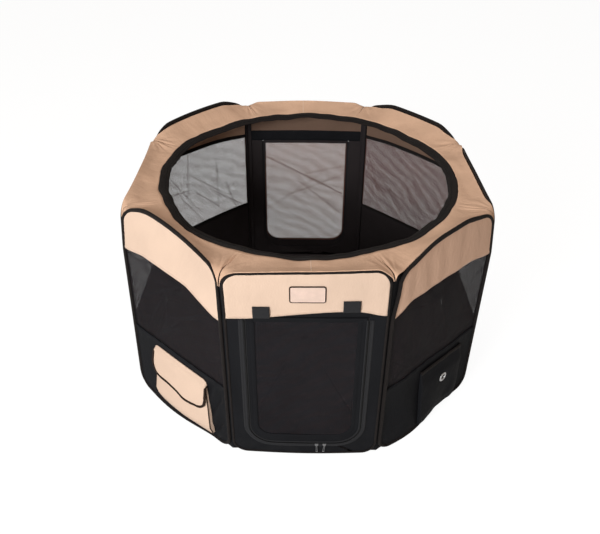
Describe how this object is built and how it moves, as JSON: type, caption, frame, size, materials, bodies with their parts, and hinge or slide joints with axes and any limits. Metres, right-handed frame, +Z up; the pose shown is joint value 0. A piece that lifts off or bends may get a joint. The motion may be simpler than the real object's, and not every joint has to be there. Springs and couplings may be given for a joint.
{
  "type": "pet playpen",
  "caption": "Folding fabric pet playpen: hinged hooped panels round a cloth floor, open top with a zip rim, mesh windows, zipped roll-up mesh doors, treat pocket and bottle pocket.",
  "frame": {"origin": "centre of the pen at floor level, on the underside of the floor cloth and the panels' lower edges", "axes": "+Z up; the front door panel with the badge patch faces -Y; the panel to its right as seen from outside, with the bottle pocket, faces +X and -Y"},
  "size_m": [0.914, 0.914, 0.58],
  "materials": {
    "beige_cloth": "woven polyester",
    "black_cloth": "woven polyester",
    "mesh_cloth": "open knitted mesh",
    "binding_tape": "ribbed tape",
    "spring_steel": "drawn wire",
    "nickel": "plated",
    "patch": "woven label"
  },
  "bodies": {
    "front_panel": {"front_hoop": "spring_steel", "front_binding": "binding_tape", "front_upper_band": "beige_cloth", "front_door_surround": "black_cloth", "hinge_strip_front_to_front_right": "black_cloth", "hinge_strip_front_left_to_front": "black_cloth", "strap_tab_left": "binding_tape", "strap_tab_right": "binding_tape", "badge_patch": "patch", "top_ring": "beige_cloth", "rim_zip": "binding_tape", "floor": "black_cloth"},
    "front_right_panel": {"front_right_hoop": "spring_steel", "front_right_binding": "binding_tape", "front_right_upper_band": "beige_cloth", "front_right_lower_cloth": "black_cloth", "front_right_window_mesh": "mesh_cloth", "hinge_strip_front_right_to_right": "black_cloth", "bottle_pocket": "black_cloth", "bottle_pocket_eyelet": "nickel"},
    "right_panel": {"right_hoop": "spring_steel", "right_binding": "binding_tape", "right_upper_band": "beige_cloth", "right_lower_cloth": "black_cloth", "right_window_mesh": "mesh_cloth", "hinge_strip_right_to_back_right": "black_cloth"},
    "back_right_panel": {"back_right_hoop": "spring_steel", "back_right_binding": "binding_tape", "back_right_upper_band": "beige_cloth", "back_right_lower_cloth": "black_cloth", "back_right_window_mesh": "mesh_cloth", "hinge_strip_back_right_to_back": "black_cloth"},
    "back_panel": {"back_hoop": "spring_steel", "back_binding": "binding_tape", "back_upper_band": "beige_cloth", "back_door_surround": "black_cloth", "hinge_strip_back_to_back_left": "black_cloth"},
    "back_left_panel": {"back_left_hoop": "spring_steel", "back_left_binding": "binding_tape", "back_left_upper_band": "beige_cloth", "back_left_lower_cloth": "black_cloth", "back_left_window_mesh": "mesh_cloth"},
    "left_panel": {"left_hoop": "spring_steel", "left_binding": "binding_tape", "left_upper_band": "beige_cloth", "left_lower_cloth": "black_cloth", "left_window_mesh": "mesh_cloth", "hinge_strip_back_left_to_left": "black_cloth"},
    "front_left_panel": {"front_left_hoop": "spring_steel", "front_left_binding": "binding_tape", "front_left_upper_band": "beige_cloth", "front_left_lower_cloth": "black_cloth", "front_left_window_mesh": "mesh_cloth", "hinge_strip_left_to_front_left": "black_cloth", "treat_pocket": "beige_cloth"},
    "front_door": {"front_door_mesh": "mesh_cloth"},
    "back_door": {"back_door_mesh": "mesh_cloth"},
    "treat_flap": {"treat_pocket_flap": "beige_cloth"},
    "zip_slider_left": {"zip_slider_left": "nickel"},
    "zip_slider_right": {"zip_slider_right": "nickel"}
  },
  "joints": [
    {"name": "fold_right_to_back_right", "type": "hinge", "parent": "right_panel", "child": "back_right_panel", "pos_m": [0.447, 0.18515, 0], "axis": [0, 0, 1], "range_deg": [0, 133], "deforming": ["hinge_strip_right_to_back_right", "top_ring", "rim_zip", "floor"]},
    {"name": "fold_front_to_front_right", "type": "hinge", "parent": "front_panel", "child": "front_right_panel", "pos_m": [0.18515, -0.447, 0], "axis": [0, 0, -1], "range_deg": [0, 44.34], "deforming": ["hinge_strip_front_to_front_right", "top_ring", "rim_zip", "floor"]},
    {"name": "fold_front_right_to_right", "type": "hinge", "parent": "front_right_panel", "child": "right_panel", "pos_m": [0.447, -0.18515, 0], "axis": [0, 0, -1], "range_deg": [0, 44.34], "deforming": ["hinge_strip_front_right_to_right", "top_ring", "rim_zip", "floor"]},
    {"name": "fold_back_right_to_back", "type": "hinge", "parent": "back_right_panel", "child": "back_panel", "pos_m": [0.18515, 0.447, 0], "axis": [0, 0, -1], "range_deg": [0, 44.34], "deforming": ["hinge_strip_back_right_to_back", "hinge_strip_back_to_back_left", "top_ring", "rim_zip", "floor"]},
    {"name": "fold_front_to_front_left", "type": "hinge", "parent": "front_panel", "child": "front_left_panel", "pos_m": [-0.18515, -0.447, 0], "axis": [0, 0, 1], "range_deg": [0, 44.34], "deforming": ["hinge_strip_front_left_to_front", "top_ring", "rim_zip", "floor"]},
    {"name": "fold_front_left_to_left", "type": "hinge", "parent": "front_left_panel", "child": "left_panel", "pos_m": [-0.447, -0.18515, 0], "axis": [0, 0, -1], "range_deg": [0, 133], "deforming": ["hinge_strip_left_to_front_left", "top_ring", "rim_zip", "floor"]},
    {"name": "fold_left_to_back_left", "type": "hinge", "parent": "left_panel", "child": "back_left_panel", "pos_m": [-0.447, 0.18515, 0], "axis": [0, 0, 1], "range_deg": [0, 44.34], "deforming": ["hinge_strip_back_left_to_left", "hinge_strip_back_to_back_left", "top_ring", "rim_zip", "floor"]},
    {"name": "front_door_swing", "type": "hinge", "parent": "front_panel", "child": "front_door", "pos_m": [0, -0.4531, 0.455], "axis": [-1, 0, 0], "range_deg": [0, 120]},
    {"name": "back_door_swing", "type": "hinge", "parent": "back_panel", "child": "back_door", "pos_m": [0, 0.4531, 0.455], "axis": [1, 0, 0], "range_deg": [0, 120]},
    {"name": "treat_flap_lift", "type": "hinge", "parent": "front_left_panel", "child": "treat_flap", "pos_m": [-0.32067, -0.32067, 0.197], "axis": [-0.7071, 0.7071, 0], "range_deg": [0, 110]},
    {"name": "zip_slider_left_run", "type": "slide", "parent": "front_panel", "child": "zip_slider_left", "axis": [-1, 0, 0], "range_m": [0, 0.105]},
    {"name": "zip_slider_right_run", "type": "slide", "parent": "front_panel", "child": "zip_slider_right", "axis": [1, 0, 0], "range_m": [0, 0.029]}
  ],
  "couplings": [
    {"joint": "fold_front_to_front_right", "follows": "fold_right_to_back_right", "ratio": 0.33333},
    {"joint": "fold_front_right_to_right", "follows": "fold_right_to_back_right", "ratio": 0.33333},
    {"joint": "fold_back_right_to_back", "follows": "fold_right_to_back_right", "ratio": 0.33333},
    {"joint": "fold_front_to_front_left", "follows": "fold_right_to_back_right", "ratio": 0.33333},
    {"joint": "fold_front_left_to_left", "follows": "fold_right_to_back_right", "ratio": 1},
    {"joint": "fold_left_to_back_left", "follows": "fold_right_to_back_right", "ratio": 0.33333}
  ]
}
